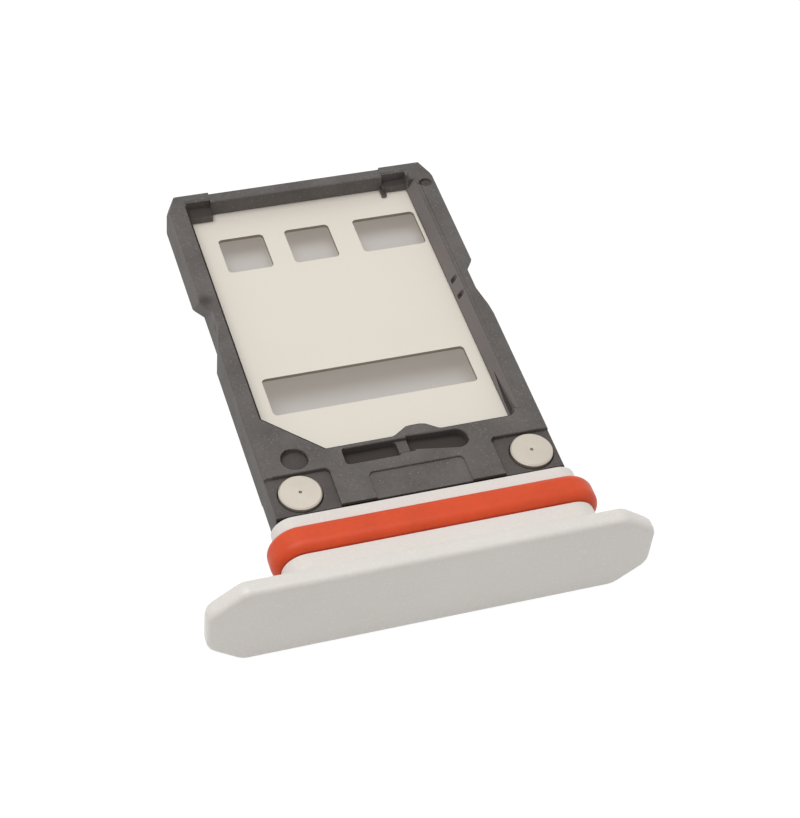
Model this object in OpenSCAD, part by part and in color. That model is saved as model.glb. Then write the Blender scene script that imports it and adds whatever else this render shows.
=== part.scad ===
// Card tray of a phone: a moulded frame with a card bay on each face, a punched plate
// between the bays, a painted metal end cap on a tongue, a rubber ring in the cap's groove
// and two rivets through frame and tongue.
// X runs across the tray, Y from the end cap to the far end, Z up.
// The origin is the bottom centre of the box around the whole tray.

/* [Card bays] */
// Width of a card bay
bay_w = 8.9; // [8.85:0.05:9.1]
// Length of a card bay, from its near edge to the far wall
bay_l = 13.15; // [12.9:0.05:13.4]
// Depth of a card bay, from the frame's face to the plate
bay_depth = 0.72; // [0.68:0.01:0.8]
// Leg of the bay's clipped corner
bay_clip = 1.85; // [1.6:0.05:2]
// Radius of the bay's other near corner and far corner
bay_corner_r = 0.3; // [0.15:0.05:0.5]
// Width of the foot of the finger swell in the bay's near edge
swell_w = 1.9; // [1.6:0.1:2.2]
// How far the swell stands into the bay
swell_rise = 0.37; // [0.2:0.01:0.45]
// Place of the swell, from the bay's clipped side to the swell's middle
swell_x = 5.2; // [4.8:0.1:5.6]

/* [Frame] */
// Thickness of the frame's wall on the clipped side
wall_l = 0.65; // [0.6:0.01:0.8]
// Thickness of the frame's wall on the straight side
wall_r = 0.95; // [0.85:0.01:1.1]
// How far the frame's far part stands out past the near part, on each side
head_step = 0.09; // [0.05:0.01:0.12]
// Land between the end cap and the bay
land_l = 2.63; // [2.55:0.01:2.9]
// Thickness of the wall at the far end
far_wall = 0.57; // [0.5:0.01:0.7]
// How far the far end is set back between its two corners
far_notch = 0.1; // [0.05:0.01:0.15]
// How far the middle of the tray lies beside the middle of the end cap
tray_x = 0.64; // [0.5:0.02:1]
// Bevel along the frame's long edges
edge_bevel = 0.1; // [0.05:0.01:0.16]
// Radius of the far corners seen from above
head_corner_r = 0.45; // [0.2:0.05:0.6]
// Leg of the lead-in bevel along the far end
lead_x = 0.36; // [0.2:0.02:0.6]
// Leg of the lead-in bevel along the side
lead_y = 0.9; // [0.4:0.05:1.2]
// Height of the lead-in bevel at the corner
lead_z = 1.1; // [0.5:0.05:1.4]

/* [Waist] */
// Place of the waist's far end on the upper face, back from the bay's far end
waist_back = 5.23; // [5:0.01:5.4]
// Length of the waist on the clipped side
waist_l_len = 2.3; // [2.1:0.05:2.5]
// Length of the waist on the straight side
waist_r_len = 2.85; // [2.7:0.05:3.1]
// Depth of the waist, from the near part's side
waist_depth = 0.26; // [0.1:0.01:0.35]
// Length of the slope that leads into the waist on the clipped side
waist_l_slope = 1; // [0.8:0.05:1.2]
// Length of the slope that leads into the waist on the straight side
waist_r_slope = 1.35; // [1.1:0.05:1.5]
// Length of the heel, the short slope at the waist's far end
waist_heel = 0.5; // [0.3:0.05:0.6]
// How much farther the heel lies at the lower face than at the upper face
heel_lean = 1.2; // [0.8:0.05:1.4]

/* [Recesses] */
// Radius of the round mark beside the clipped corner
mark_r = 0.46; // [0.3:0.02:0.5]
// Place of the round mark, from the bay's clipped side
mark_x = 0.63; // [0.5:0.01:0.8]
// Place of the round mark, before the bay's near edge
mark_y = 0.23; // [0.15:0.01:0.3]
// Depth of the round mark
mark_depth = 0.2; // [0.1:0.01:0.4]
// Place of the slot along the bay's near edge, from the bay's clipped side
slot_x = 2.36; // [2.2:0.01:2.5]
// Length of the slot's first half
slot_l = 1.97; // [1.6:0.01:2.1]
// Width of the slot's first half
slot_w = 0.7; // [0.5:0.02:0.74]
// Land between the slot and the bay
slot_gap = 0.18; // [0.15:0.01:0.3]
// Gap between the slot's two halves
slot_bridge = 0.42; // [0.3:0.01:0.6]
// Length of the slot's second half
slot_l2 = 2.13; // [1.8:0.01:2.2]
// Width of the second half where it starts
slot_w2 = 0.62; // [0.5:0.02:0.7]
// Radius of the second half's round end
slot_end_r = 0.41; // [0.35:0.01:0.42]
// Depth of the slot
slot_depth = 0.36; // [0.3:0.02:0.58]
// Depth of the lowered bridge between the two halves
bridge_depth = 0.14; // [0.05:0.01:0.2]
// Depth of the lowered field in front of the slot
field_depth = 0.09; // [0.05:0.01:0.14]
// Depth of the lowered fields around the rivets
rivet_field_depth = 0.16; // [0.08:0.01:0.2]
// Length of the lowered field in front of the slot
field_l = 3.5; // [3:0.05:3.8]
// Place of that field, from the bay's clipped side
field_x = 2.95; // [2.8:0.05:3.1]
// Land between that field and the bay
field_gap = 1.4; // [1.2:0.05:1.5]
// Width of the lowered field around a rivet
rivet_field_w = 2.5; // [2.2:0.05:2.8]
// Land between the field around a rivet and the bay
rivet_field_gap = 0.87; // [0.75:0.01:1]
// Radius of the small dimple at the far corner
far_dimple_r = 0.2; // [0.1:0.01:0.22]
// Place of that dimple, out from the bay's straight side
far_dimple_x = 0.65; // [0.6:0.01:0.7]
// Place of that dimple, back from the bay's far end
far_dimple_y = 0.65; // [0.5:0.05:0.8]
// Radius of the two small nicks in the bay's straight side
nick_r = 0.11; // [0.08:0.01:0.14]
// Place of the first nick, before the waist's far end
nick_y = 0.55; // [0.45:0.01:0.8]
// Distance between the two nicks
nick_pitch = 0.84; // [0.7:0.01:0.9]
// Depth of the nicks and of the small pit
nick_depth = 0.5; // [0.4:0.02:0.6]
// Radius of the small pit beside the clipped side's waist
pit_r = 0.13; // [0.08:0.01:0.18]
// Width of the slope along the bay's straight side
slope_w = 0.3; // [0.2:0.01:0.35]
// Height of the slope along the bay's straight side
slope_h = 0.6; // [0.4:0.02:0.65]
// Depth of the wedge-shaped relief at the near end of the slope
relief_depth = 0.54; // [0.4:0.02:0.56]
// Width of the relief at its near end
relief_w = 0.2; // [0.15:0.01:0.25]
// Length of the relief along the slope
relief_l = 2.2; // [1.8:0.1:2.4]
// Width of the corner posts that stand in the bay's far corners
post_w = 0.98; // [0.8:0.02:1.1]
// Width of the narrow tooth beside the post in the unclipped corner
tooth_w = 0.2; // [0.15:0.01:0.3]
// How far the tooth reaches into the bay
tooth_reach = 0.46; // [0.3:0.02:0.5]
// How far the corner post on the clipped side reaches into the bay
post_reach = 0.36; // [0.2:0.02:0.45]
// How far the corner post on the straight side reaches into the bay
post_r_reach = 0.2; // [0.1:0.02:0.3]
// How far the tops of the corner posts lie below the frame's face
post_drop = 0.4; // [0.2:0.02:0.5]
// How far the top of the narrow tooth lies below the frame's face
tooth_drop = 0.56; // [0.4:0.02:0.6]
// Rim left of the far end's wall behind a corner post
post_rim = 0.38; // [0.2:0.01:0.45]

/* [Plate] */
// Thickness of the plate between the bays
plate_t = 0.15; // [0.12:0.01:0.2]
// How far the plate's edge is set into the frame
plate_set = 0.2; // [0.15:0.01:0.25]
// Clearance around the plate in the frame
plate_clear = 0.02; // [0.01:0.01:0.05]
// Width of each of the two square windows
window_w = 1.76; // [1.5:0.02:2]
// Margin between the oblong far window and the bay's straight side
window_end = 0.11; // [0.05:0.01:0.3]
// Length of the three far windows, along the tray
window_l = 1.82; // [1.5:0.02:2]
// Margin between the far windows and the bay's far end
window_back = 1.43; // [1.2:0.01:1.6]
// Place of the first window's side, from the bay's clipped side
window_x = 0.9; // [0.7:0.02:1.1]
// Bar between the first two far windows
window_bar = 0.86; // [0.7:0.02:1.1]
// Bar between the second and the oblong far window
window_bar_wide = 1; // [0.8:0.02:1.1]
// Length of the near window, along the tray
slit_l = 1.8; // [1.5:0.02:2]
// Place of the near window's side, from the bay's clipped side
slit_x = 0.66; // [0.5:0.02:0.9]
// Margin between the near window and the bay's straight side
slit_end = 0.49; // [0.4:0.01:0.7]
// Place of the near window, from the bay's near edge to its near side
slit_y = 2.48; // [2.2:0.02:2.7]
// Radius of the windows' corners
window_r = 0.16; // [0.05:0.01:0.3]

/* [End cap] */
// How far the face plate stands out past the neck, as the mean of both sides
cap_over = 2.25; // [2:0.05:2.6]
// Height of the end cap
cap_h = 3.62; // [3.4:0.02:3.8]
// Thickness of the end cap's face plate
cap_t = 0.64; // [0.5:0.02:0.8]
// Length of the cut at each corner of the face plate, across
cap_cut_x = 1.2; // [0.8:0.05:1.4]
// Height of the cut at each corner of the face plate
cap_cut_z = 0.93; // [0.6:0.01:1.1]
// Radius that softens the outline of the face plate
cap_soften = 0.6; // [0.1:0.02:0.8]
// Radius of the rounded edge around the face
cap_edge_r = 0.2; // [0.1:0.01:0.25]
// Radius of the rounded edge around the back of the face plate
cap_back_r = 0.16; // [0.05:0.01:0.2]
// How far the neck stands out past the frame, as the mean of both sides
neck_over = 0.4; // [0.35:0.01:0.5]
// Height of the neck
neck_h = 1.7; // [1.64:0.02:2]
// How far the neck lies beside the middle of the tray
neck_offset = 0.1; // [0:0.02:0.14]
// Length of the neck between the face plate and the ring's groove
neck_l = 1.26; // [1.1:0.02:1.5]
// Radius of the fillet between the face plate and the neck
neck_fillet = 0.3; // [0.1:0.02:0.4]
// Thickness of the flange beside the frame
flange_t = 0.52; // [0.4:0.02:0.6]
// Height of the flange, a little less than the frame's
flange_h = 1.5; // [1.4:0.02:1.56]
// Thickness of the tongue that carries the frame
tongue_t = 0.6; // [0.5:0.02:0.7]
// Margin between the tongue and the frame's side
tongue_side = 0.5; // [0.35:0.01:0.55]
// Length of the tongue inside the frame
tongue_l = 1.5; // [1.45:0.01:1.52]
// Gap between the flange and the frame
seam = 0.05; // [0.02:0.01:0.08]
// Clearance around the tongue in the frame
tongue_clear = 0.04; // [0.02:0.01:0.08]

/* [Ring] */
// Width of the groove that holds the ring, along the tray
groove_l = 1.2; // [1.1:0.02:1.4]
// Depth of the groove
groove_depth = 0.4; // [0.3:0.02:0.5]
// How far the ring stands proud of the neck
ring_proud = 0.27; // [0.15:0.01:0.35]
// Clearance of the ring in its groove
ring_clear = 0.04; // [0.01:0.01:0.05]
// Radius of the ring's rounded crest edges
ring_round = 0.36; // [0.1:0.02:0.4]

/* [Rivets] */
// Diameter of a rivet's flat head
rivet_head_d = 1.53; // [1.4:0.01:1.6]
// Diameter of a rivet's shank
rivet_shank_d = 0.85; // [0.7:0.01:1]
// Thickness of a rivet's head
rivet_head_t = 0.28; // [0.2:0.01:0.35]
// How far a rivet's head stands above the frame's face
rivet_proud = 0; // [-0.04:0.01:0.06]
// Bevel around a rivet's head
rivet_bevel = 0.05; // [0.02:0.01:0.08]
// Radius of the small dimple in the middle of a rivet's head
rivet_dimple_r = 0.07; // [0.04:0.01:0.12]
// Clearance around the rivet's head and shank
rivet_clear = 0.03; // [0.02:0.01:0.05]
// Place of the rivets, from the frame's near end
rivet_y = 0.91; // [0.85:0.01:1.05]
// Place of the rivet on the clipped side, from the frame's side
rivet_l_x = 1.08; // [1:0.01:1.15]
// Place of the rivet on the straight side, from the frame's side
rivet_r_x = 0.94; // [0.88:0.01:1.05]

/* [Hidden] */
$fn = 64;
eps = 0.01;
thin = 0.02;
slot_r = 0.12;
field_r = 0.2;
over = 0.5;

// Levels along Z. The lower face is the upper one turned over about the frame's long axis.
mid_z = cap_h / 2;
body_t = 2 * bay_depth + plate_t;
face_z = mid_z + body_t / 2;
plate_z = mid_z - plate_t / 2;

// Stations along Y
total_l = cap_t + neck_l + groove_l + flange_t + seam + land_l + bay_l + far_wall;
cap_y = -total_l / 2;
neck_y = cap_y + cap_t;
groove_y = neck_y + neck_l;
flange_y = groove_y + groove_l;
body_y = flange_y + flange_t + seam;
bay_y = body_y + land_l;
far_y = bay_y + bay_l + far_wall;

// Widths and places along X
body_w = wall_l + bay_w + wall_r;
head_w = body_w + 2 * head_step;
neck_w = body_w + 2 * neck_over;
cap_w = neck_w + 2 * cap_over;
tongue_w = body_w - 2 * tongue_side;
body_x = tray_x - body_w / 2;
bay_x = body_x + wall_l;
neck_x = tray_x + neck_offset;
rivet_xs = [body_x + rivet_l_x, body_x + body_w - rivet_r_x];

// The waist's far end, and the seam inside it between the frame's near and far parts
waist_y = bay_l - waist_back;
head_y = bay_y + waist_y - waist_heel;

// The plate, which reaches into the frame beyond the bays of both faces, and its windows
plate_x = bay_x - plate_set;
plate_w = 2 * (tray_x - plate_x);
plate_l = bay_l + 2 * plate_set;
window_y = bay_l - window_back - window_l;
window_3 = window_x + 2 * window_w + window_bar + window_bar_wide;
window_wide = bay_w - window_end - window_3;
slit_w = bay_w - slit_x - slit_end;

// A rectangle with rounded corners, from its near left corner
module rounded(size, r) {
    for (x = [r, size.x - r])
        for (y = [r, size.y - r])
            translate([x, y]) circle(r);
    translate([r, 0]) square([size.x - 2 * r, size.y]);
    translate([0, r]) square([size.x, size.y - 2 * r]);
}

// A shape cut down from the frame's upper face, placed from the bay's near clipped corner
module sunk(depth, x, y) {
    translate([bay_x + x, bay_y + y, face_z - depth])
        linear_extrude(depth + 1)
            children();
}

// What is cut from the upper face, and the same turned over for the lower face
module both_faces() {
    children();
    translate([2 * tray_x, 0, 2 * mid_z]) rotate([0, 180, 0]) children();
}

// A long bar whose four edges have a bevel
module bevelled_bar(w, y0, y1) {
    b = edge_bevel;
    h = body_t / 2;
    translate([tray_x, y1, mid_z])
        rotate([90, 0, 0])
            linear_extrude(y1 - y0)
                polygon([
                    [-w / 2, -h + b], [-w / 2 + b, -h], [w / 2 - b, -h], [w / 2, -h + b],
                    [w / 2, h - b], [w / 2 - b, h], [-w / 2 + b, h], [-w / 2, h - b]
                ]);
}

// What the waist cuts from one side of the frame, from the upper face down to the lower.
// Its far end, the heel, lies farther back at the lower face.
module waist(side, length, slope) {
    outer = head_w / 2 + 1;
    near = body_w / 2;
    deep = near - waist_depth;
    start = waist_y - length;
    // Each slice: its level and where the heel ends there
    lean = heel_lean / body_t;
    slices = [[-over, waist_y - over * lean], [body_t + over, waist_y + (body_t + over) * lean]];
    hull()
        for (s = slices)
            translate([tray_x, bay_y, face_z - s[0] - thin / 2])
                linear_extrude(thin)
                    polygon([
                        [side * outer, start], [side * near, start],
                        [side * deep, start + slope], [side * deep, s[1] - waist_heel],
                        [side * head_w / 2, s[1]], [side * outer, s[1]]
                    ]);
}

// The lead-in bevel at one far corner of the upper face
module lead_in(side) {
    corner = [tray_x + side * head_w / 2, far_y, face_z];
    x = lead_x * (1 + over / lead_z);
    y = lead_y * (1 + over / lead_z);
    translate(corner + [0, 0, over])
        polyhedron(
            [[0, 0, 0], [-side * x, 0, 0], [0, -y, 0], [0, 0, -lead_z - over],
             [side, 0, 0], [0, 1, 0]],
            side > 0
                ? [[0, 2, 1], [0, 1, 3], [0, 3, 2], [1, 2, 3]]
                : [[0, 1, 2], [0, 3, 1], [0, 2, 3], [1, 3, 2]]
        );
}

// The outline of a card bay, from its near clipped corner.
// The swell's points are shares of its width and of its rise.
module bay_outline() {
    difference() {
        union() {
            translate([0, bay_corner_r])
                square([bay_w, bay_l - 2 * bay_corner_r]);
            square([bay_w - bay_corner_r, bay_l]);
            translate([bay_w - bay_corner_r, bay_corner_r]) circle(bay_corner_r);
            translate([bay_w - bay_corner_r, bay_l - bay_corner_r]) circle(bay_corner_r);
        }
        polygon([[-1, -1], [bay_clip + 1, -1], [-1, bay_clip + 1]]);
        translate([swell_x - swell_w / 2, 0])
            polygon([
                [0, -eps], [swell_w * 0.07, swell_rise * 0.1],
                [swell_w * 0.32, swell_rise * 0.93], [swell_w * 0.42, swell_rise],
                [swell_w * 0.6, swell_rise], [swell_w * 0.71, swell_rise * 0.86],
                [swell_w * 0.92, swell_rise * 0.1], [swell_w, -eps]
            ]);
    }
}

// A card bay, cut from the upper face down to the plate, with its corner posts left standing
module bay() {
    difference() {
        sunk(bay_depth, 0, 0) bay_outline();
        translate([bay_x - 1, bay_y + bay_l - post_reach, face_z - bay_depth - 1])
            cube([1 + post_w, post_reach + 1, 1 + bay_depth - post_drop]);
        translate([bay_x + bay_w - post_w, bay_y + bay_l - post_r_reach,
                   face_z - bay_depth - 1])
            cube([1 + post_w, post_r_reach + 1, 1 + bay_depth - post_drop]);
        translate([bay_x + bay_w - post_w - tooth_w / 2, bay_y + bay_l - tooth_reach,
                   face_z - bay_depth - 1])
            cube([tooth_w, tooth_reach + 1, 1 + bay_depth - tooth_drop]);
    }
}

// The sunk tops of the corner posts, which run back into the far wall
module post_tops() {
    back = far_wall - post_rim;
    sunk(post_drop, 0, bay_l - post_reach)
        square([post_w, post_reach + back]);
    sunk(post_drop, bay_w - post_w, bay_l - post_r_reach)
        square([post_w, post_r_reach + back]);
}

// The slope along the bay's straight side, from near the plate up to the face
module side_slope() {
    translate([bay_x + bay_w, bay_y + bay_l - bay_corner_r, face_z])
        rotate([90, 0, 0])
            linear_extrude(bay_l - 2 * bay_corner_r)
                polygon([
                    [-slope_w, -slope_h], [0, -slope_h], [slope_w, 0], [slope_w, slope_h],
                    [-slope_w, slope_h]
                ]);
}

// The slot in two halves along the bay's near edge, with a lowered bridge between them.
// The second half widens to its round end.
module near_slot() {
    second_x = slot_x + slot_l + slot_bridge;
    end_x = slot_l2 - slot_end_r;
    end_y = slot_gap / 2 + slot_end_r;
    sunk(slot_depth, slot_x, -slot_gap - slot_w) rounded([slot_l, slot_w], slot_r);
    sunk(slot_depth, second_x, -slot_gap / 2) {
        translate([end_x, -end_y]) circle(slot_end_r);
        polygon([
            [0, 0], [0, -slot_w2],
            [end_x, -end_y - slot_end_r], [end_x, -end_y + slot_end_r]
        ]);
    }
    sunk(bridge_depth, slot_x + slot_l - slot_r, -slot_gap - slot_w2)
        square([slot_bridge + 2 * slot_r, slot_w2]);
}

// A shallow field on the land, from its place across to its gap before the bay
module land_field(depth, x, w, gap) {
    sunk(depth, x, -land_l - over)
        rounded([w, land_l + over - gap], field_r);
}

// The fields on the land: one in front of the slot and one around each rivet
module land_fields() {
    land_field(field_depth, field_x, field_l, field_gap);
    for (x = rivet_xs)
        land_field(rivet_field_depth, x - bay_x - rivet_field_w / 2, rivet_field_w,
                   rivet_field_gap);
}

// Small marks of the moulding: the round mark, the far dimple, the nicks, the pit and the relief
module moulding_marks() {
    sunk(mark_depth, mark_x, -mark_y) circle(mark_r);
    sunk(field_depth, bay_w + far_dimple_x, bay_l - far_dimple_y) circle(far_dimple_r);
    for (i = [0, 1])
        sunk(nick_depth, bay_w + nick_r + eps, waist_y - nick_y - i * nick_pitch)
            circle(nick_r);
    sunk(nick_depth, -wall_l + pit_r / 2, waist_y - waist_l_len + waist_l_slope * 2 / 3)
        circle(pit_r);
    sunk(relief_depth, bay_w, bay_corner_r)
        polygon([[0, 0], [relief_w, 0], [relief_w / 2, relief_l]]);
}

// The place of each rivet's axis
module at_rivet(i) {
    translate([rivet_xs[i], body_y + rivet_y, mid_z]) children();
}

module tray_frame() {
    color([0.36, 0.34, 0.34])
    difference() {
        union() {
            bevelled_bar(body_w, body_y, head_y + waist_heel + heel_lean);
            intersection() {
                bevelled_bar(head_w, head_y, far_y);
                translate([tray_x - head_w / 2, head_y - 1, 0])
                    linear_extrude(face_z + 1)
                        rounded([head_w, far_y - head_y + 1], head_corner_r);
            }
        }
        waist(-1, waist_l_len, waist_l_slope);
        waist(1, waist_r_len, waist_r_slope);
        // The far end's middle, set back between the corners
        translate([bay_x + post_w + eps, far_y - far_notch, 0])
            cube([bay_w - 2 * post_w - 2 * eps, 1, cap_h]);
        lead_in(-1);
        lead_in(1);
        both_faces() {
            bay();
            side_slope();
            post_tops();
            near_slot();
            land_fields();
        }
        moulding_marks();
        // Groove that the plate's edge is moulded into
        translate([plate_x - plate_clear, bay_y - plate_set - plate_clear,
                   plate_z - plate_clear])
            linear_extrude(plate_t + 2 * plate_clear)
                square([plate_w + 2 * plate_clear, plate_l + 2 * plate_clear]);
        // Slot for the end cap's tongue
        translate([tray_x - tongue_w / 2 - tongue_clear, body_y - 1,
                   mid_z - tongue_t / 2 - tongue_clear])
            cube([tongue_w + 2 * tongue_clear, tongue_l + 1 + tongue_clear,
                  tongue_t + 2 * tongue_clear]);
        for (i = [0, 1])
            at_rivet(i) {
                cylinder(d = rivet_shank_d + 2 * rivet_clear, h = 2 * body_t, center = true);
                both_ways()
                    translate([0, 0, body_t / 2 + rivet_proud - rivet_head_t - rivet_clear])
                        cylinder(d = rivet_head_d + 2 * rivet_clear, h = 1);
            }
    }
}

// A copy mirrored in the plane through the middle of the tray
module both_ways() {
    children();
    mirror([0, 0, 1]) children();
}

// A window with rounded corners, through the plate
module window(x, y, w, l) {
    translate([bay_x + x, bay_y + y, plate_z - 1])
        linear_extrude(plate_t + 2)
            rounded([w, l], window_r);
}

module card_plate() {
    color([0.9, 0.87, 0.82])
    difference() {
        translate([plate_x, bay_y - plate_set, plate_z])
            linear_extrude(plate_t)
                square([plate_w, plate_l]);
        window(window_x, window_y, window_w, window_l);
        window(window_x + window_w + window_bar, window_y, window_w, window_l);
        window(window_3, window_y, window_wide, window_l);
        window(slit_x, slit_y, slit_w, slit_l);
    }
}

// A profile led round a racetrack path: two half turns and two straight runs.
// The profile's X is its distance from the path's middle line, its Y runs along the tray.
module racetrack(w, h) {
    run = w - h;
    translate([neck_x, 0, mid_z]) {
        for (side = [-1, 1])
            translate([side * run / 2, 0, 0])
                rotate([-90, 0, 0])
                    rotate([0, 0, side > 0 ? -90 : 90])
                        rotate_extrude(angle = 180)
                            children();
        for (up = [-1, 1])
            translate([-run / 2, 0, 0])
                rotate([up > 0 ? 0 : 180, 0, 0])
                    mirror([0, up > 0 ? 0 : 1, 0])
                        rotate([90, 0, 90])
                            linear_extrude(run)
                                children_upright() children();
    }
}

// Turns a profile so that its X points up and its Y along the tray
module children_upright() {
    mirror([1, 0, 0]) rotate([0, 0, 90]) children();
}

// The octagonal outline of the face plate, drawn in by a margin and softened
module cap_outline(inset) {
    w = cap_w / 2;
    h = cap_h / 2;
    offset(r = cap_soften, $fn = 24)
        offset(delta = -cap_soften - inset)
            polygon([
                [-w, -h + cap_cut_z], [-w + cap_cut_x, -h], [w - cap_cut_x, -h],
                [w, -h + cap_cut_z], [w, h - cap_cut_z], [w - cap_cut_x, h],
                [-w + cap_cut_x, h], [-w, h - cap_cut_z]
            ]);
}

// The face plate, with a rounded edge at the front and a finer one at the back
module face_plate() {
    r = cap_edge_r;
    back_r = cap_back_r;
    // Each slice: its start, its thickness and how far its outline is drawn in, along round edges
    slices = [
        [0, thin, r],
        [r * (1 - cos(35)), thin, r * (1 - sin(35))],
        [r * (1 - cos(62)), thin, r * (1 - sin(62))],
        [r, cap_t - r - back_r, 0],
        [cap_t - thin - back_r * (1 - sin(45)), thin, back_r * (1 - cos(45))],
        [cap_t - thin, thin, back_r * 0.9]
    ];
    hull()
        for (s = slices)
            translate([0, cap_y + s[0], mid_z])
                rotate([-90, 0, 0])
                    linear_extrude(s[1])
                        cap_outline(s[2]);
}

module end_cap() {
    color([0.86, 0.84, 0.81])
    difference() {
        union() {
            face_plate();
            // Neck with its fillet against the face plate
            racetrack(neck_w, neck_h)
                difference() {
                    translate([0, neck_y - cap_edge_r])
                        square([neck_h / 2 + neck_fillet, neck_l + cap_edge_r]);
                    translate([neck_h / 2 + neck_fillet, neck_y + neck_fillet])
                        circle(neck_fillet);
                    translate([neck_h / 2, neck_y + neck_fillet])
                        square([1, neck_l]);
                }
            // Core under the ring, and the flange beside the frame
            racetrack(neck_w, neck_h)
                translate([0, groove_y - eps])
                    square([neck_h / 2 - groove_depth, groove_l + 2 * eps]);
            racetrack(neck_w - neck_h + flange_h, flange_h)
                translate([0, flange_y])
                    square([flange_h / 2, flange_t]);
            translate([tray_x - tongue_w / 2, flange_y + flange_t / 2, mid_z - tongue_t / 2])
                cube([tongue_w, flange_t / 2 + seam + tongue_l, tongue_t]);
        }
        for (i = [0, 1])
            at_rivet(i)
                cylinder(d = rivet_shank_d + 2 * rivet_clear, h = 2 * body_t, center = true);
    }
}

module seal_ring() {
    inner = neck_h / 2 - groove_depth + ring_clear;
    outer = neck_h / 2 + ring_proud;
    color([0.87, 0.33, 0.2])
    racetrack(neck_w, neck_h)
        translate([inner, groove_y + ring_clear]) {
            l = groove_l - 2 * ring_clear;
            // Nothing of the crest's circles reaches past the ring's inner face
            intersection() {
                square([outer - inner, l]);
                union() {
                    square([outer - inner - ring_round, l]);
                    translate([0, ring_round]) square([outer - inner, l - 2 * ring_round]);
                    for (y = [ring_round, l - ring_round])
                        translate([outer - inner - ring_round, y]) circle(ring_round);
                }
            }
        }
}

// A rivet with a flat head at each end, the edge of each head bevelled
module rivet(i) {
    head_z = body_t / 2 + rivet_proud - rivet_head_t;
    bevel = rivet_bevel;
    at_rivet(i)
        difference() {
            union() {
                cylinder(d = rivet_shank_d, h = 2 * head_z + 2 * eps, center = true);
                both_ways()
                    translate([0, 0, head_z]) {
                        cylinder(d = rivet_head_d, h = rivet_head_t - bevel);
                        translate([0, 0, rivet_head_t - bevel])
                            cylinder(d1 = rivet_head_d, d2 = rivet_head_d - 2 * bevel, h = bevel);
                    }
            }
            both_ways()
                translate([0, 0, head_z + rivet_head_t - rivet_dimple_r])
                    cylinder(r1 = 0, r2 = 2 * rivet_dimple_r, h = 2 * rivet_dimple_r);
        }
}

module rivet_left() {
    color([0.85, 0.82, 0.77]) rivet(0);
}

module rivet_right() {
    color([0.85, 0.82, 0.77]) rivet(1);
}

tray_frame();
card_plate();
end_cap();
seal_ring();
rivet_left();
rivet_right();
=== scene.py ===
"""Card tray of a phone, dressed on its CAD frame: pieces, materials, floor, lamp and camera."""

import math

import bmesh
import bpy
from bpy.props import FloatProperty, FloatVectorProperty, PointerProperty
from mathutils import Matrix, Vector


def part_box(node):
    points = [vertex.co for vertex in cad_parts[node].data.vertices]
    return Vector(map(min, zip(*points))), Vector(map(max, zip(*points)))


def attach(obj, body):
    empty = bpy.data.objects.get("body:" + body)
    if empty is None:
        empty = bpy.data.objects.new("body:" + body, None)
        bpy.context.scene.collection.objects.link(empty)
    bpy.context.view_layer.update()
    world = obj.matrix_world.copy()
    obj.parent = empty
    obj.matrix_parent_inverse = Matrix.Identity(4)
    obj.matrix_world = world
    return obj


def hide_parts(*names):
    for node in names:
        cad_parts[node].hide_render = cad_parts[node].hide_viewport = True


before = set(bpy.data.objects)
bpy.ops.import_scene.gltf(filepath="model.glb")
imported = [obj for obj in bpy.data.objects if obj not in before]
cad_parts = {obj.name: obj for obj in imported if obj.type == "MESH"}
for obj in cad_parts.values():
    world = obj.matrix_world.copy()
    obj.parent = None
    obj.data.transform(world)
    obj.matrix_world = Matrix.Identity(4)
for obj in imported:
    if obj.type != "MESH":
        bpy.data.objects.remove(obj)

bl_info = {
    "name": "Card tray",
    "version": (1, 0, 0),
    "blender": (4, 5, 0),
    "location": "View3D > Sidebar > Card tray",
    "description": "Dresses the CAD frame of a phone's card tray and sets its stage",
    "category": "Object",
}

MM = 0.001


class TrayPieces(bpy.types.PropertyGroup):
    """Sizes that the pieces take on top of their CAD shapes."""

    frame_bevel: FloatProperty(
        name="Frame edges",
        description="Width of the fine bevel along the bays of the moulded frame",
        default=0.08 * MM,
        min=0.0,
        unit="LENGTH",
    )
    plate_bevel: FloatProperty(
        name="Plate edges",
        description="Width of the fine bevel on the plate's punched edges",
        default=0.02 * MM,
        min=0.0,
        unit="LENGTH",
    )
    cap_bevel: FloatProperty(
        name="Cap edges",
        description="Width of the fine bevel on the end cap's edges",
        default=0.05 * MM,
        min=0.0,
        unit="LENGTH",
    )


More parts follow.
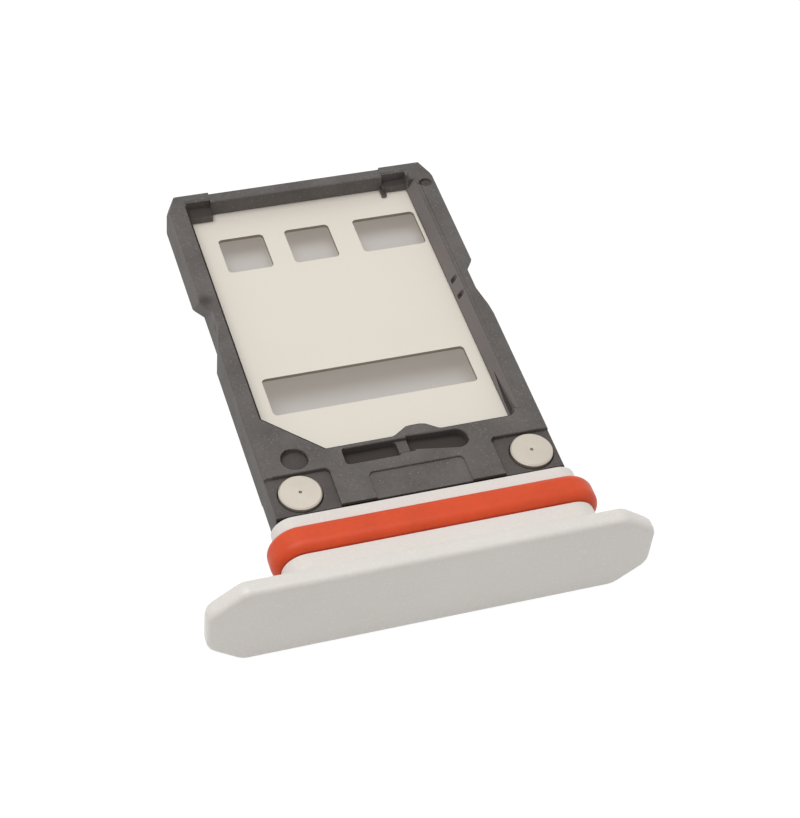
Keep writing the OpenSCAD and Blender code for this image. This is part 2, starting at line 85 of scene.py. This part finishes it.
class TrayLook(bpy.types.PropertyGroup):
    """Colours and finishes of the pieces, and the painted shade and painted highlights on them."""

    frame_color: FloatVectorProperty(
        name="Frame",
        description="Colour of the moulded frame",
        subtype="COLOR",
        size=3,
        default=(0.137, 0.125, 0.118),
    )
    # Painted shade: darkens the frame's sunk floors and pocket walls, and spots at the waist and
    # far corner
    recess_shade_color: FloatVectorProperty(
        name="Frame recesses",
        description="Colour of the smooth floors of the frame's slots and lowered fields",
        subtype="COLOR",
        size=3,
        default=(0.06, 0.049, 0.046),
    )
    # Painted shade along the edges round the frame's openings, in the gaps round the rivets and
    # along the seam beside the cap
    rim_color: FloatVectorProperty(
        name="Frame rims",
        description="Colour of the fine edges round the frame's openings",
        subtype="COLOR",
        size=3,
        default=(0.024, 0.018, 0.012),
    )
    # Painted highlight on the bays' slopes and at the waist's edge; also the colour of the frame's
    # dust specks
    highlight_and_dust_color: FloatVectorProperty(
        name="Frame slopes",
        description="Colour of the slopes along the bays' straight sides",
        subtype="COLOR",
        size=3,
        default=(0.2, 0.178, 0.172),
    )
    plate_color: FloatVectorProperty(
        name="Plate",
        description="Colour of the steel plate",
        subtype="COLOR",
        size=3,
        default=(0.785, 0.732, 0.65),
    )
    # Painted shade on the plate's punched edges
    cut_shade_color: FloatVectorProperty(
        name="Plate edges",
        description="Colour of the plate's punched edges",
        subtype="COLOR",
        size=3,
        default=(0.36, 0.305, 0.235),
    )
    cap_color: FloatVectorProperty(
        name="End cap",
        description="Colour of the end cap's paint",
        subtype="COLOR",
        size=3,
        default=(0.80, 0.762, 0.714),
    )
    flake_color: FloatVectorProperty(
        name="Pearl flakes",
        description="Colour of the flakes in the end cap's paint",
        subtype="COLOR",
        size=3,
        default=(0.835, 0.80, 0.755),
    )
    ring_color: FloatVectorProperty(
        name="Ring",
        description="Colour of the rubber ring",
        subtype="COLOR",
        size=3,
        default=(0.73, 0.078, 0.019),
    )
    rivet_color: FloatVectorProperty(
        name="Rivets",
        description="Colour of the rivets' steel",
        subtype="COLOR",
        size=3,
        default=(0.58, 0.53, 0.455),
    )
    # Painted shade in the rivets' dimples
    dimple_shade_color: FloatVectorProperty(
        name="Rivet dimples",
        description="Colour of the dimples in the rivets' heads",
        subtype="COLOR",
        size=3,
        default=(0.16, 0.14, 0.12),
    )


class TrayStage(bpy.types.PropertyGroup):
    """Floor, light and camera."""

    sky: FloatProperty(
        name="Sky", description="Strength of the even light from all round", default=0.45, min=0.0
    )
    key_power: FloatProperty(
        name="Key power",
        description="Power of the large lamp above",
        default=0.317,
        min=0.0,
        unit="POWER",
    )
    key_size: FloatProperty(
        name="Key size", description="Diameter of the large lamp", default=0.2, unit="LENGTH"
    )
    key_place: FloatVectorProperty(
        name="Key place",
        description="Place of the large lamp, above the tray and to its left",
        subtype="TRANSLATION",
        unit="LENGTH",
        size=3,
        default=(-0.06, 0.01, 0.235),
    )
    lens: FloatProperty(
        name="Lens",
        description="Focal length, in millimetres",
        default=93.51,
        min=1.0,
        unit="CAMERA",
    )
    distance: FloatProperty(
        name="Distance",
        description="Distance from the camera's plane to the bay's clipped corner",
        default=73.785 * MM,
        unit="LENGTH",
    )
    azimuth: FloatProperty(
        name="Azimuth",
        description="Where the camera stands round the tray",
        default=math.radians(-22.57),
        unit="ROTATION",
    )
    elevation: FloatProperty(
        name="Elevation",
        description="How high the camera stands",
        default=math.radians(47.61),
        unit="ROTATION",
    )
    roll: FloatProperty(
        name="Roll",
        description="How far the camera is turned about its own axis",
        default=math.radians(7.04),
        unit="ROTATION",
    )


# Node helpers


def new_group(name, inputs, outputs):
    """An empty node group with these (type, name, default) inputs and (type, name) outputs."""
    group = bpy.data.node_groups.new(name, "ShaderNodeTree")
    for kind, label, default in inputs:
        socket = group.interface.new_socket(label, in_out="INPUT", socket_type=kind)
        socket.default_value = default
    for kind, label in outputs:
        group.interface.new_socket(label, in_out="OUTPUT", socket_type=kind)
    return group, group.nodes.new("NodeGroupInput"), group.nodes.new("NodeGroupOutput")


def node(tree, kind, links=(), **values):
    """A node with its settings and input values, linked from (input, output socket) pairs."""
    made = tree.nodes.new(kind)
    for key, value in values.items():
        if hasattr(made, key):
            setattr(made, key, value)
        else:
            made.inputs[key.replace("_", " ")].default_value = value
    for key, source in links:
        tree.links.new(source, made.inputs[key])
    return made


def maths(tree, operation, *values):
    """The output of a Math node whose inputs are numbers or output sockets."""
    made = tree.nodes.new("ShaderNodeMath")
    made.operation = operation
    for index, value in enumerate(values):
        if isinstance(value, (int, float)):
            made.inputs[index].default_value = value
        else:
            tree.links.new(value, made.inputs[index])
    return made.outputs[0]


def span_mask(tree, value, low, high, edge):
    """1 where a value lies between two bounds, fading to 0 over an edge inside them."""
    sides = []
    for start, end in ((low, low + edge), (high, high - edge)):
        ramp = node(tree, "ShaderNodeMapRange", [("Value", value)])
        ramp.inputs["From Min"].default_value = start
        ramp.inputs["From Max"].default_value = end
        sides.append(ramp.outputs["Result"])
    return maths(tree, "MULTIPLY", *sides)


def field_mask(tree, place, lows, highs, edge):
    """1 within bounds along X and Y on Object coordinates, at any height."""
    parts = node(tree, "ShaderNodeSeparateXYZ", [(0, place)]).outputs
    spans = [
        span_mask(tree, parts[axis], low, high, edge) for axis, low, high in zip("XY", lows, highs)
    ]
    return maths(tree, "MULTIPLY", *spans)


def round_mask(tree, place, centre, radius):
    """1 within a radius of an upright axis through a centre, on Object coordinates."""
    away = node(tree, "ShaderNodeVectorMath", [(0, place)], operation="SUBTRACT")
    away.inputs[1].default_value = centre
    flat = node(tree, "ShaderNodeVectorMath", [(0, away.outputs[0])], operation="MULTIPLY")
    flat.inputs[1].default_value = (1.0, 1.0, 0.0)
    far = node(tree, "ShaderNodeVectorMath", [(0, flat.outputs[0])], operation="LENGTH")
    return maths(tree, "LESS_THAN", far.outputs["Value"], radius)


def rivet_mask(tree, place, radius):
    """1 within a radius of either rivet's axis."""
    masks = []
    for side in ("left", "right"):
        lo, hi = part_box("rivet_" + side)
        masks.append(round_mask(tree, place, (lo + hi) / 2, radius))
    return maths(tree, "MAXIMUM", *masks)


def grain_group():
    """Fine grain and slow cloudiness of a surface: a value round 1 for its colour, and a height."""
    group, given, out = new_group(
        "Grain",
        [
            ("NodeSocketFloat", "Fine Scale", 9000.0),
            ("NodeSocketFloat", "Fine Amount", 0.06),
            ("NodeSocketFloat", "Cloud Scale", 500.0),
            ("NodeSocketFloat", "Cloud Amount", 0.08),
        ],
        [("NodeSocketFloat", "Shade"), ("NodeSocketFloat", "Height")],
    )
    place = node(group, "ShaderNodeTexCoord").outputs["Object"]
    total = 1.0
    for label, detail in (("Fine", 3.0), ("Cloud", 2.0)):
        noise = node(
            group,
            "ShaderNodeTexNoise",
            [("Vector", place), ("Scale", given.outputs[label + " Scale"])],
            Detail=detail,
        ).outputs["Fac"]
        if label == "Fine":
            group.links.new(noise, out.inputs["Height"])
        centred = maths(group, "MULTIPLY_ADD", noise, 2.0, -1.0)
        share = maths(group, "MULTIPLY", centred, given.outputs[label + " Amount"])
        total = maths(group, "ADD", share, total)
    group.links.new(total, out.inputs["Shade"])
    return group


def flakes_group():
    """A mask of scattered flakes, as in a pearl paint, or of specks, as of dust."""
    group, given, out = new_group(
        "Flakes",
        [("NodeSocketFloat", "Scale", 14000.0), ("NodeSocketFloat", "Share", 0.06)],
        [("NodeSocketFloat", "Mask")],
    )
    place = node(group, "ShaderNodeTexCoord").outputs["Object"]
    cells = node(
        group, "ShaderNodeTexVoronoi", [("Vector", place), ("Scale", given.outputs["Scale"])]
    )
    tone = node(group, "ShaderNodeSeparateColor", [("Color", cells.outputs["Color"])])
    least = maths(group, "SUBTRACT", 1.0, given.outputs["Share"])
    group.links.new(maths(group, "GREATER_THAN", tone.outputs[0], least), out.inputs["Mask"])
    return group


def recess_group():
    """Masks of the frame for painted light: painted shade on its sunk floors and pockets and on the
    fine edges round its openings, and a painted highlight on the slopes along the bays."""
    group, given, out = new_group(
        "Recess",
        [("NodeSocketFloat", "Least Depth", 0.1 * MM), ("NodeSocketFloat", "Fade", 0.16 * MM)],
        [("NodeSocketFloat", "Sunk"), ("NodeSocketFloat", "Rim"), ("NodeSocketFloat", "Slope")],
    )
    lo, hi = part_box("tray_frame")
    plate_lo, plate_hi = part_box("card_plate")
    place = node(group, "ShaderNodeTexCoord").outputs["Object"]
    at = node(group, "ShaderNodeSeparateXYZ", [(0, place)]).outputs
    normal = node(group, "ShaderNodeNewGeometry").outputs["True Normal"]
    facing = node(group, "ShaderNodeSeparateXYZ", [(0, normal)]).outputs
    upright = maths(group, "ABSOLUTE", facing["Z"])
    floor_least, tilted_most = 0.9, 0.97
    floors = maths(group, "GREATER_THAN", upright, floor_least)
    tilted = maths(group, "LESS_THAN", upright, tilted_most)

    # The part of the frame inside its outer sides and near end, where openings lie
    side, end, edge = 0.4 * MM, 1.5 * MM, 0.02 * MM
    lows = (lo.x + side, lo.y + end)
    pocket_end, bay_end = plate_lo.y + 0.18 * MM, plate_hi.y - 0.2 * MM
    pockets = field_mask(group, place, lows, (hi.x - side, pocket_end), edge)
    openings = field_mask(group, place, lows, (hi.x - side, bay_end), edge)

    # Painted shade on floors by how far they lie below the upper face, or above the lower one, and
    # on the pockets' walls
    middle, half = (lo.z + hi.z) / 2, (hi.z - lo.z) / 2
    away = maths(group, "ABSOLUTE", maths(group, "SUBTRACT", at["Z"], middle))
    depth = maths(group, "SUBTRACT", half, away)
    deep = maths(group, "SUBTRACT", depth, given.outputs["Least Depth"])
    deep = maths(group, "DIVIDE", deep, given.outputs["Fade"])
    deep = node(group, "ShaderNodeClamp", [(0, deep)]).outputs[0]
    wall_share = 0.45
    walls = maths(group, "MULTIPLY", maths(group, "MULTIPLY", tilted, pockets), wall_share)
    sunk = maths(group, "MAXIMUM", maths(group, "MULTIPLY", deep, floors), walls)
    group.links.new(sunk, out.inputs["Sunk"])

    # Painted shade on edges that slope down to the right or to the far end, in the gaps round the
    # rivets' heads, and on the frame's end beside the cap
    turned_least, upper_least = 0.12, 0.2
    turned = maths(group, "MAXIMUM", facing["X"], facing["Y"])
    turned = maths(group, "GREATER_THAN", turned, turned_least)
    upper = maths(group, "GREATER_THAN", facing["Z"], upper_least)
    rim = maths(group, "MULTIPLY", maths(group, "MULTIPLY", turned, upper), openings)
    hole, head_gap, seam_edge = 0.8 * MM, 0.81 * MM, lo.y + 0.075 * MM
    holes = maths(group, "MULTIPLY", tilted, rivet_mask(group, place, hole))
    gaps = maths(group, "MULTIPLY", floors, rivet_mask(group, place, head_gap))
    seam = maths(group, "LESS_THAN", at["Y"], seam_edge)
    for mask in (holes, gaps, seam):
        rim = maths(group, "MAXIMUM", rim, mask)
    group.links.new(rim, out.inputs["Rim"])

    # Painted highlight on the slopes, which lean by about 63 degrees, more than any bevel
    aslant_least, leaning_least = 0.8, 0.3
    aslant = maths(group, "GREATER_THAN", maths(group, "ABSOLUTE", facing["X"]), aslant_least)
    leaning = maths(group, "GREATER_THAN", upright, leaning_least)
    group.links.new(maths(group, "MULTIPLY", aslant, leaning), out.inputs["Slope"])
    return group


def soft_spot(tree, place, centre, radius):
    """1 at a centre on Object coordinates, fading softly to 0 at a radius."""
    away = node(tree, "ShaderNodeVectorMath", [(0, place)], operation="DISTANCE")
    away.inputs[1].default_value = centre
    ramp = node(
        tree,
        "ShaderNodeMapRange",
        [("Value", away.outputs["Value"])],
        interpolation_type="SMOOTHSTEP",
    )
    ramp.inputs["From Max"].default_value = radius
    ramp.inputs["To Min"].default_value = 1.0
    ramp.inputs["To Max"].default_value = 0.0
    return ramp.outputs["Result"]


def marks_group():
    """Masks of painted shade and a painted highlight at the frame's waist and corner."""
    group, _, out = new_group(
        "Marks", [], [("NodeSocketFloat", "Dark"), ("NodeSocketFloat", "Light")]
    )
    lo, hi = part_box("tray_frame")
    place = node(group, "ShaderNodeTexCoord").outputs["Object"]
    left, right = Vector((lo.x, hi.y, hi.z)), hi
    # In millimetres from a far corner of the upper face: painted shade at the waist's pit and heel
    # and in a patch near the far dimple, and a painted highlight on the waist's edge
    spots = {
        "Dark": (
            (left, (0.35, -6.72, -0.5), 0.26),
            (left, (0.2, -5.75, -0.1), 0.45),
            (right, (-0.39, -1.22, 0.0), 0.36),
        ),
        "Light": ((left, (0.3, -6.3, -0.3), 0.35),),
    }
    for label, places in spots.items():
        mask = 0.0
        for corner, offset, radius in places:
            spot = soft_spot(group, place, corner + Vector(offset) * MM, radius * MM)
            mask = maths(group, "MAXIMUM", mask, spot)
        group.links.new(mask, out.inputs[label])
    return group


def shared(name, maker):
    """The node group of that name, made the first time it is asked for."""
    return bpy.data.node_groups.get(name) or maker()


def surface(name, color, roughness, fine, cloud, bump, **extra):
    """A material whose colour carries the shared grain, and whose bump follows its fine part.
    The fine grain and the cloudiness are each given as a scale and an amount."""
    material = bpy.data.materials.new(name)
    material.use_nodes = True
    material.diffuse_color = (*color, 1.0)
    tree = material.node_tree
    bsdf = tree.nodes["Principled BSDF"]
    bsdf.inputs["Roughness"].default_value = roughness
    for key, value in extra.items():
        bsdf.inputs[key.replace("_", " ")].default_value = value
    texture = node(tree, "ShaderNodeGroup", node_tree=shared("Grain", grain_group))
    for label, (scale, amount) in (("Fine", fine), ("Cloud", cloud)):
        texture.inputs[label + " Scale"].default_value = scale
        texture.inputs[label + " Amount"].default_value = amount
    tint = node(tree, "ShaderNodeVectorMath", [(1, texture.outputs["Shade"])], operation="MULTIPLY")
    tint.inputs[0].default_value = color
    tree.links.new(tint.outputs[0], bsdf.inputs["Base Color"])
    relief = node(tree, "ShaderNodeBump", [("Height", texture.outputs["Height"])], Distance=bump)
    tree.links.new(relief.outputs["Normal"], bsdf.inputs["Normal"])
    return material, tree, bsdf, tint


def mixed(tree, factor, color, other):
    """A colour output that turns from one colour output to another colour by a factor."""
    mix = node(tree, "ShaderNodeMix", [("Factor", factor), ("A", color)], data_type="RGBA")
    mix.inputs["B"].default_value = (*other, 1.0)
    return mix.outputs["Result"]


# Pieces


def weigh_edges(shape, angle, levels):
    """Gives each sharp outer edge its share of the bevel: whole at the given levels round the
    plate, half elsewhere at these levels and beside the slot, and least on all other edges."""
    shares = shape.edges.layers.float.new("bevel_weight_edge")
    shortest, near = 0.0112 * MM, 0.002 * MM
    whole, half, least = 1.0, 0.5, 0.25
    lo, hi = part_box("card_plate")
    slot_side = lo.y + 0.65 * MM
    for edge in shape.edges:
        if len(edge.link_faces) != 2 or not edge.is_convex or edge.calc_length() < shortest:
            continue
        if edge.calc_face_angle() < math.radians(angle):
            continue
        ends = [vert.co for vert in edge.verts]
        level = any(all(abs(end.z - z) < near for end in ends) for z in levels)
        middle = (ends[0] + ends[1]) / 2
        inside = lo.x < middle.x < hi.x and slot_side < middle.y < hi.y
        edge[shares] = whole if level and inside else half if level else least


def dressed(name, cad, bevel, material, angle=30.0, levels=()):
    """A piece made from a CAD node: its mesh merged, its edges softened, and its material set."""
    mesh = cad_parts[cad].data.copy()
    mesh.name = name
    mesh.materials.clear()
    shape = bmesh.new()
    shape.from_mesh(mesh)
    touching, even = 0.0002 * MM, math.radians(0.5)
    bmesh.ops.remove_doubles(shape, verts=shape.verts, dist=touching)
    bmesh.ops.dissolve_limit(shape, angle_limit=even, verts=shape.verts, edges=shape.edges)
    if levels:
        weigh_edges(shape, angle, levels)
    shape.to_mesh(mesh)
    shape.free()
    stale = mesh.attributes.get("custom_normal")
    if stale:
        mesh.attributes.remove(stale)
    mesh.materials.append(material)
    mesh.shade_smooth()
    mesh.set_sharp_from_angle(angle=math.radians(angle))
    piece = bpy.data.objects.new(name, mesh)
    bpy.context.scene.collection.objects.link(piece)
    if bevel:
        soft = piece.modifiers.new("Soft edges", "BEVEL")
        soft.width = bevel
        soft.segments = 2
        soft.limit_method = "WEIGHT" if levels else "ANGLE"
        soft.angle_limit = math.radians(angle)
        soft.harden_normals = True
        soft.use_clamp_overlap = not levels
        soft.loop_slide = False
        piece.modifiers.new("Even normals", "WEIGHTED_NORMAL").keep_sharp = True
    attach(piece, "root")
    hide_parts(cad)
    return piece


class TRAY_OT_frame(bpy.types.Operator):
    """Makes the moulded frame"""

    bl_idname = "tray.frame"
    bl_label = "Moulded frame"

    def execute(self, context):
        sizes, look = context.scene.tray_pieces, context.scene.tray_look
        material, tree, bsdf, tint = surface(
            "moulded_plastic",
            look.frame_color,
            roughness=0.6,
            fine=(9000.0, 0.2),
            cloud=(700.0, 0.34),
            bump=0.004 * MM,
            Specular_IOR_Level=0.15,
        )
        flakes = shared("Flakes", flakes_group)
        specks = node(tree, "ShaderNodeGroup", node_tree=flakes, Scale=22000.0, Share=0.03)
        recess = node(tree, "ShaderNodeGroup", node_tree=shared("Recess", recess_group))
        marks = node(tree, "ShaderNodeGroup", node_tree=shared("Marks", marks_group))
        # Dust specks, a painted highlight on the slopes, painted shade in the recesses, along the
        # rims, round the rivets and at the seam, and painted shade and a painted highlight at the
        # waist and far corner
        layers = (
            (specks, "Mask", look.highlight_and_dust_color),
            (recess, "Slope", look.highlight_and_dust_color),
            (recess, "Sunk", look.recess_shade_color),
            (recess, "Rim", look.rim_color),
            (marks, "Dark", look.recess_shade_color),
            (marks, "Light", look.highlight_and_dust_color),
        )
        color = tint.outputs[0]
        for source, mask, other in layers:
            color = mixed(tree, source.outputs[mask], color, other)
        tree.links.new(color, bsdf.inputs["Base Color"])
        lo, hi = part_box("tray_frame")
        dressed(
            "moulded_frame",
            "tray_frame",
            sizes.frame_bevel,
            material,
            levels=(lo.z, hi.z),
        )
        return {"FINISHED"}


class TRAY_OT_plate(bpy.types.Operator):
    """Makes the punched steel plate"""

    bl_idname = "tray.plate"
    bl_label = "Steel plate"

    def execute(self, context):
        sizes, look = context.scene.tray_pieces, context.scene.tray_look
        material, tree, bsdf, tint = surface(
            "blasted_steel",
            look.plate_color,
            roughness=0.55,
            fine=(16000.0, 0.03),
            cloud=(220.0, 0.03),
            bump=0.0015 * MM,
            Metallic=0.15,
        )
        normal = node(tree, "ShaderNodeNewGeometry").outputs["True Normal"]
        upright = node(tree, "ShaderNodeSeparateXYZ", [(0, normal)]).outputs["Z"]
        # The punched edges face sideways; painted shade darkens them
        cut = maths(tree, "LESS_THAN", maths(tree, "ABSOLUTE", upright), 0.5)
        color = mixed(tree, cut, tint.outputs[0], look.cut_shade_color)
        tree.links.new(color, bsdf.inputs["Base Color"])
        dressed("punched_plate", "card_plate", sizes.plate_bevel, material)
        return {"FINISHED"}


class TRAY_OT_cap(bpy.types.Operator):
    """Makes the painted end cap"""

    bl_idname = "tray.cap"
    bl_label = "End cap"

    def execute(self, context):
        sizes, look = context.scene.tray_pieces, context.scene.tray_look
        material, tree, bsdf, tint = surface(
            "pearl_paint",
            look.cap_color,
            roughness=0.38,
            fine=(9000.0, 0.05),
            cloud=(300.0, 0.04),
            bump=0.002 * MM,
            Coat_Weight=0.25,
            Coat_Roughness=0.2,
        )
        flakes = node(tree, "ShaderNodeGroup", node_tree=shared("Flakes", flakes_group))
        color = mixed(tree, flakes.outputs["Mask"], tint.outputs[0], look.flake_color)
        tree.links.new(color, bsdf.inputs["Base Color"])
        dressed("painted_cap", "end_cap", sizes.cap_bevel, material, angle=40.0)
        return {"FINISHED"}


class TRAY_OT_ring(bpy.types.Operator):
    """Makes the rubber ring"""

    bl_idname = "tray.ring"
    bl_label = "Rubber ring"

    def execute(self, context):
        look = context.scene.tray_look
        material, *_ = surface(
            "orange_rubber",
            look.ring_color,
            roughness=0.45,
            fine=(7000.0, 0.08),
            cloud=(900.0, 0.14),
            bump=0.003 * MM,
            Specular_IOR_Level=0.35,
            Subsurface_Weight=0.1,
            Subsurface_Scale=0.2 * MM,
        )
        dressed("rubber_ring", "seal_ring", 0.0, material, angle=50.0)
        return {"FINISHED"}


class TRAY_OT_rivets(bpy.types.Operator):
    """Makes the two rivets"""

    bl_idname = "tray.rivets"
    bl_label = "Rivets"

    def execute(self, context):
        look = context.scene.tray_look
        material, tree, bsdf, tint = surface(
            "rivet_steel",
            look.rivet_color,
            roughness=0.4,
            fine=(12000.0, 0.05),
            cloud=(900.0, 0.12),
            bump=0.002 * MM,
            Metallic=0.7,
        )
        place = node(tree, "ShaderNodeTexCoord").outputs["Object"]
        # Painted shade in the dimples of the rivets' heads
        dimples = rivet_mask(tree, place, 0.06 * MM)
        color = mixed(tree, dimples, tint.outputs[0], look.dimple_shade_color)
        tree.links.new(color, bsdf.inputs["Base Color"])
        for side in ("left", "right"):
            dressed("pressed_rivet_" + side, "rivet_" + side, 0.0, material)
        return {"FINISHED"}


# Stage


class TRAY_OT_stage(bpy.types.Operator):
    """Sets the floor, the light and the camera"""

    bl_idname = "tray.stage"
    bl_label = "Stage"

    def execute(self, context):
        stage = context.scene.tray_stage
        add_world(stage)
        add_floor()
        add_lamp(stage)
        add_camera(stage)
        return {"FINISHED"}


def seen_ray(tree):
    """1 for a ray that the camera, a mirror or a clear body sends, else 0."""
    path = node(tree, "ShaderNodeLightPath")
    total = path.outputs["Is Camera Ray"]
    for other in ("Is Glossy Ray", "Is Transmission Ray"):
        total = maths(tree, "MAXIMUM", total, path.outputs[other])
    return total


def add_world(stage):
    """White as far as it is seen, and even soft light as far as it lights."""
    world = bpy.data.worlds.new("Studio")
    bpy.context.scene.world = world
    world.use_nodes = True
    tree = world.node_tree
    strength = node(tree, "ShaderNodeMix", [("Factor", seen_ray(tree))], data_type="FLOAT")
    strength.inputs["A"].default_value = stage.sky
    strength.inputs["B"].default_value = 1.0
    background = tree.nodes["Background"]
    background.inputs["Color"].default_value = (1.0, 1.0, 1.0, 1.0)
    tree.links.new(strength.outputs["Result"], background.inputs["Strength"])


def add_floor():
    """A pale floor that touches the cap's lower edge and the frame's far lower edge."""
    cap_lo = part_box("end_cap")[0]
    frame_lo, frame_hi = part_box("tray_frame")
    near, gap, reach = cap_lo.y + 0.5 * MM, 0.01 * MM, 1.5
    slope = (frame_lo.z - cap_lo.z) / (frame_hi.y - near)
    shape = bmesh.new()
    corners = [
        shape.verts.new((x, y, cap_lo.z + slope * (y - near) - gap))
        for x, y in ((-reach, -reach), (reach, -reach), (reach, reach), (-reach, reach))
    ]
    shape.faces.new(corners)
    mesh = bpy.data.meshes.new("floor")
    shape.to_mesh(mesh)
    shape.free()
    floor = bpy.data.objects.new("floor", mesh)
    bpy.context.scene.collection.objects.link(floor)
    mesh.materials.append(floor_material(frame_lo, frame_hi))


def floor_material(lo, hi):
    """Pale, and as good as white where it is seen beside the tray; under the tray's windows it is
    seen with its own shade at a lower colour, lifted by a warm painted glow."""
    material = bpy.data.materials.new("pale_floor")
    material.use_nodes = True
    tree = material.node_tree
    bsdf = tree.nodes["Principled BSDF"]
    bsdf.inputs["Roughness"].default_value = 0.8
    bsdf.inputs["Specular IOR Level"].default_value = 0.1
    bsdf.inputs["Emission Strength"].default_value = 1.0
    place = node(tree, "ShaderNodeTexCoord").outputs["Object"]
    side, end, edge = 1.2 * MM, 5.2 * MM, 0.3 * MM
    lows, highs = (lo.x + side, lo.y + end), (hi.x - edge, hi.y - edge)
    under = field_mask(tree, place, lows, highs, edge)
    seen = seen_ray(tree)
    # For each socket: as it lights, as it is seen beside the tray, as it is seen under it (there
    # with a warm painted glow)
    tones = (
        ("Base Color", (0.83, 0.82, 0.81), (0.1, 0.1, 0.1), (0.36, 0.36, 0.36)),
        ("Emission Color", (0.0, 0.0, 0.0), (0.955, 0.955, 0.955), (0.25, 0.222, 0.196)),
    )
    for socket, real, beside, below in tones:
        shown = node(tree, "ShaderNodeMix", [("Factor", under)], data_type="RGBA")
        shown.inputs["A"].default_value = (*beside, 1.0)
        shown.inputs["B"].default_value = (*below, 1.0)
        tone = node(
            tree,
            "ShaderNodeMix",
            [("Factor", seen), ("B", shown.outputs["Result"])],
            data_type="RGBA",
        )
        tone.inputs["A"].default_value = (*real, 1.0)
        tree.links.new(tone.outputs["Result"], bsdf.inputs[socket])
    return material


def add_lamp(stage):
    """One large round lamp above the tray, turned towards the frame's origin."""
    lamp = bpy.data.lights.new("Key", "AREA")
    lamp.shape = "DISK"
    lamp.size = stage.key_size
    lamp.energy = stage.key_power
    key = bpy.data.objects.new("Key", lamp)
    key.location = stage.key_place
    key.rotation_euler = stage.key_place.to_track_quat("Z", "Y").to_euler()
    bpy.context.scene.collection.objects.link(key)


def add_camera(stage):
    """The photograph's camera, placed from the bay's clipped corner."""
    lo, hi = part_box("tray_frame")
    bay_side, bay_end = 0.74 * MM, 13.72 * MM
    corner = Vector((lo.x + bay_side, hi.y - bay_end, hi.z))
    corner_x, corner_y = -4.391 * MM, -1.668 * MM
    az, el, roll = stage.azimuth, stage.elevation, stage.roll
    back = Vector((math.sin(az) * math.cos(el), -math.cos(az) * math.cos(el), math.sin(el)))
    level = Vector((math.cos(az), math.sin(az), 0.0))
    above = back.cross(level)
    right = math.cos(roll) * level + math.sin(roll) * above
    up = -math.sin(roll) * level + math.cos(roll) * above
    data = bpy.data.cameras.new("Camera")
    data.lens = stage.lens
    data.sensor_width = 36.0
    data.shift_x = -0.002
    data.clip_start = 0.005
    data.clip_end = 10.0
    camera = bpy.data.objects.new("Camera", data)
    place = corner - corner_x * right - corner_y * up + stage.distance * back
    axes = Matrix((right, up, back)).transposed().to_4x4()
    camera.matrix_world = Matrix.Translation(place) @ axes
    bpy.context.scene.collection.objects.link(camera)
    bpy.context.scene.camera = camera


# Add-on


class TRAY_PT_panel(bpy.types.Panel):
    """The tray's settings and steps"""

    bl_idname = "TRAY_PT_panel"
    bl_label = "Card tray"
    bl_space_type = "VIEW_3D"
    bl_region_type = "UI"
    bl_category = "Card tray"

    def draw(self, context):
        scene = context.scene
        for settings in (scene.tray_pieces, scene.tray_look, scene.tray_stage):
            box = self.layout.box()
            for key in settings.__annotations__:
                box.prop(settings, key)
        for step in STEPS:
            self.layout.operator(step.bl_idname)


STEPS = (
    TRAY_OT_frame,
    TRAY_OT_plate,
    TRAY_OT_cap,
    TRAY_OT_ring,
    TRAY_OT_rivets,
    TRAY_OT_stage,
)
CLASSES = (TrayPieces, TrayLook, TrayStage, *STEPS, TRAY_PT_panel)


def register():
    for cls in CLASSES:
        bpy.utils.register_class(cls)
    bpy.types.Scene.tray_pieces = PointerProperty(type=TrayPieces)
    bpy.types.Scene.tray_look = PointerProperty(type=TrayLook)
    bpy.types.Scene.tray_stage = PointerProperty(type=TrayStage)


def unregister():
    del bpy.types.Scene.tray_stage, bpy.types.Scene.tray_look, bpy.types.Scene.tray_pieces
    for cls in reversed(CLASSES):
        bpy.utils.unregister_class(cls)


def main():
    """Makes the pieces and the stage."""
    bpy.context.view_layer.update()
    register()
    bpy.context.scene.view_settings.view_transform = "Standard"
    bpy.ops.tray.frame()
    bpy.ops.tray.plate()
    bpy.ops.tray.cap()
    bpy.ops.tray.ring()
    bpy.ops.tray.rivets()
    bpy.ops.tray.stage()


if __name__ == "__main__":
    main()
